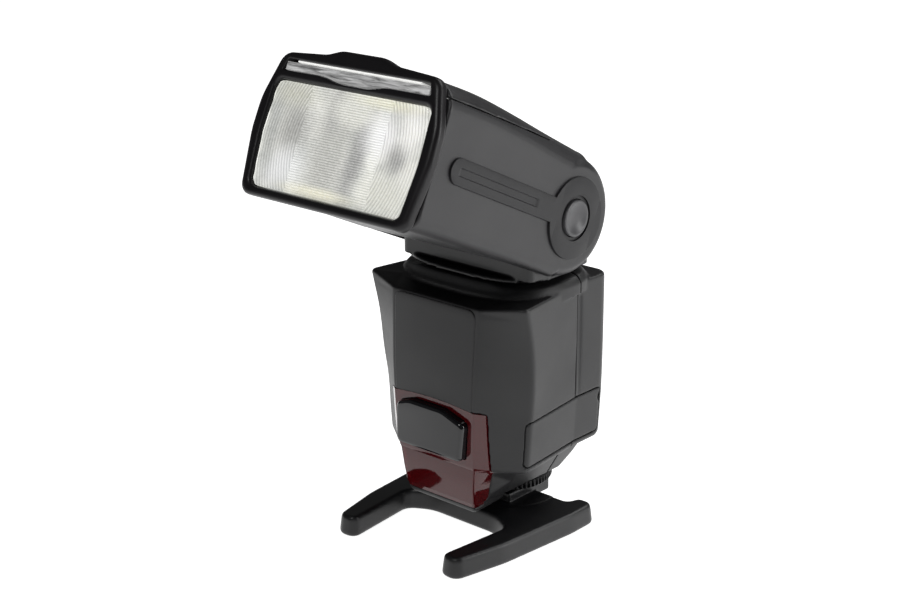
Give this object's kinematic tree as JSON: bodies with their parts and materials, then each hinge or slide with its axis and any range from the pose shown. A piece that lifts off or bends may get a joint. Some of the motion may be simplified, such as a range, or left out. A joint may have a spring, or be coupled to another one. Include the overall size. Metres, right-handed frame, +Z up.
{
  "type": "speedlight flash",
  "caption": "Battery speedlight flash with a tilting and swivelling zoom head, slide-out diffuser panel and bounce card, rear controls, shoe foot and a mini stand.",
  "frame": {"origin": "on the swivel axis of the head, at the underside of the mini stand", "axes": "+Z up along the swivel axis, -Y the way the body's front and the flash head face, +X towards the battery door"},
  "size_m": [0.0776, 0.111, 0.1748],
  "materials": {
    "body_plastic": "fine textured matte black",
    "head_plastic": "semi-matte charcoal",
    "satin_black_plastic": "satin black",
    "red_window": "polished dark red, translucent",
    "gloss_black": "polished black",
    "tray_plastic": "matte black",
    "nickel_plate": "bright plated",
    "steel": "drawn",
    "circuit_board": "green solder mask",
    "capacitor_sleeve": "shrink sleeve",
    "transformer_tape": "yellow tape",
    "clear_window": "clear",
    "display_glass": "grey-green liquid crystal",
    "cover_rubber": "matte black",
    "button_rubber": "matte dark grey",
    "gold_contact": "gold plated",
    "brass": "turned",
    "clear_lens": "clear with fine prism lines",
    "clear_panel": "clear with fine dimples",
    "white_card": "white",
    "reflector_silver": "bright aluminised",
    "tube_glass": "clear",
    "carriage_plastic": "matte dark grey",
    "button_grey": "satin grey"
  },
  "bodies": {
    "stand": {"mini_stand": "satin_black_plastic", "tripod_insert": "brass"},
    "flash_body": {"front_shell": "body_plastic", "rear_shell": "body_plastic", "red_sensor_window": "red_window", "focus_assist_window": "gloss_black", "battery_holder": "tray_plastic", "battery_contact_plate": "nickel_plate", "main_circuit_board": "circuit_board", "main_capacitor": "capacitor_sleeve", "charging_transformer": "transformer_tape", "display_window": "clear_window", "display_module": "display_glass", "sync_socket": "nickel_plate", "power_socket": "nickel_plate", "mounting_foot": "nickel_plate", "foot_screw_1": "steel", "foot_screw_2": "steel", "foot_screw_3": "steel", "foot_screw_4": "steel", "centre_contact": "gold_contact", "locking_pin": "steel"},
    "battery_door": {"battery_door": "body_plastic"},
    "port_cover": {"port_cover": "cover_rubber"},
    "locking_ring": {"locking_ring": "satin_black_plastic"},
    "neck": {"neck": "satin_black_plastic", "turntable_plate": "steel"},
    "head": {"head_lower_shell": "head_plastic", "head_upper_shell": "head_plastic", "head_bezel": "satin_black_plastic", "fresnel_lens": "clear_lens", "left_guide_rod": "steel", "right_guide_rod": "steel", "zoom_motor": "steel", "right_side_cover": "head_plastic", "left_side_cover": "head_plastic"},
    "wide_panel": {"wide_panel": "clear_panel"},
    "bounce_card": {"bounce_card": "white_card"},
    "zoom_carriage": {"zoom_carriage": "carriage_plastic", "reflector": "reflector_silver", "flash_tube": "tube_glass"},
    "zoom_lead_screw": {"zoom_lead_screw": "steel"},
    "release_button": {"release_button": "button_grey"},
    "button_light": {"button_light": "button_rubber"},
    "button_zoom": {"button_zoom": "button_rubber"},
    "button_mode": {"button_mode": "button_rubber"},
    "button_wireless": {"button_wireless": "button_rubber"},
    "button_up": {"button_up": "button_rubber"},
    "button_down": {"button_down": "button_rubber"},
    "button_left": {"button_left": "button_rubber"},
    "button_right": {"button_right": "button_rubber"},
    "button_ok": {"button_ok": "button_rubber"},
    "button_pilot": {"button_pilot": "button_rubber"},
    "button_power": {"button_power": "button_rubber"}
  },
  "joints": [
    {"name": "foot_slide", "type": "slide", "parent": "stand", "child": "flash_body", "axis": [0, 1, 0], "range_m": [0, 0.025]},
    {"name": "locking_ring_turn", "type": "hinge", "parent": "flash_body", "child": "locking_ring", "pos_m": [0, 0.0064, 0.0136], "axis": [0, 0, 1], "range_deg": [0, 120]},
    {"name": "head_swivel", "type": "hinge", "parent": "flash_body", "child": "neck", "pos_m": [0, 0, 0.0942], "axis": [0, 0, 1], "range_deg": [-180, 90]},
    {"name": "head_tilt", "type": "hinge", "parent": "neck", "child": "head", "pos_m": [0, 0, 0.1155], "axis": [-1, 0, 0], "range_deg": [-32, 65]},
    {"name": "release_button_press", "type": "slide", "parent": "head", "child": "release_button", "axis": [-1, 0, 0], "range_m": [0, 0.0015], "stiffness_N_per_m": 400},
    {"name": "wide_panel_slide", "type": "slide", "parent": "head", "child": "wide_panel", "axis": [0, -0.9063, 0.4226], "range_m": [0, 0.044]},
    {"name": "bounce_card_slide", "type": "slide", "parent": "head", "child": "bounce_card", "axis": [0, -0.9063, 0.4226], "range_m": [0, 0.042]},
    {"name": "zoom_slide", "type": "slide", "parent": "head", "child": "zoom_carriage", "axis": [0, -0.9063, 0.4226], "range_m": [-0.001, 0.008]},
    {"name": "zoom_screw_turn", "type": "hinge", "parent": "head", "child": "zoom_lead_screw", "pos_m": [-0.0304, -0.03285, 0.14207], "axis": [0, -0.9063, 0.4226], "range_deg": [-125, 965]},
    {"name": "battery_door_hinge", "type": "hinge", "parent": "flash_body", "child": "battery_door", "pos_m": [0.031, 0, 0.0321], "axis": [0, 1, 0], "range_deg": [0, 100]},
    {"name": "port_cover_hinge", "type": "hinge", "parent": "flash_body", "child": "port_cover", "pos_m": [-0.0328, -0.008, 0.07], "axis": [0, 0, 1], "range_deg": [0, 110]},
    {"name": "button_light_press", "type": "slide", "parent": "flash_body", "child": "button_light", "axis": [0, -1, 0], "range_m": [0, 0.0005], "stiffness_N_per_m": 400},
    {"name": "button_zoom_press", "type": "slide", "parent": "flash_body", "child": "button_zoom", "axis": [0, -1, 0], "range_m": [0, 0.0005], "stiffness_N_per_m": 400},
    {"name": "button_mode_press", "type": "slide", "parent": "flash_body", "child": "button_mode", "axis": [0, -1, 0], "range_m": [0, 0.0005], "stiffness_N_per_m": 400},
    {"name": "button_wireless_press", "type": "slide", "parent": "flash_body", "child": "button_wireless", "axis": [0, -1, 0], "range_m": [0, 0.0005], "stiffness_N_per_m": 400},
    {"name": "button_up_press", "type": "slide", "parent": "flash_body", "child": "button_up", "axis": [0, -1, 0], "range_m": [0, 0.0005], "stiffness_N_per_m": 400},
    {"name": "button_down_press", "type": "slide", "parent": "flash_body", "child": "button_down", "axis": [0, -1, 0], "range_m": [0, 0.0005], "stiffness_N_per_m": 400},
    {"name": "button_left_press", "type": "slide", "parent": "flash_body", "child": "button_left", "axis": [0, -1, 0], "range_m": [0, 0.0005], "stiffness_N_per_m": 400},
    {"name": "button_right_press", "type": "slide", "parent": "flash_body", "child": "button_right", "axis": [0, -1, 0], "range_m": [0, 0.0005], "stiffness_N_per_m": 400},
    {"name": "button_ok_press", "type": "slide", "parent": "flash_body", "child": "button_ok", "axis": [0, -1, 0], "range_m": [0, 0.0005], "stiffness_N_per_m": 400},
    {"name": "button_pilot_press", "type": "slide", "parent": "flash_body", "child": "button_pilot", "axis": [0, -1, 0], "range_m": [0, 0.0005], "stiffness_N_per_m": 400},
    {"name": "button_power_press", "type": "slide", "parent": "flash_body", "child": "button_power", "axis": [0, -1, 0], "range_m": [0, 0.0005], "stiffness_N_per_m": 400}
  ],
  "couplings": [
    {"joint": "zoom_screw_turn", "follows": "zoom_slide", "rad_per_m": 2094.4}
  ]
}
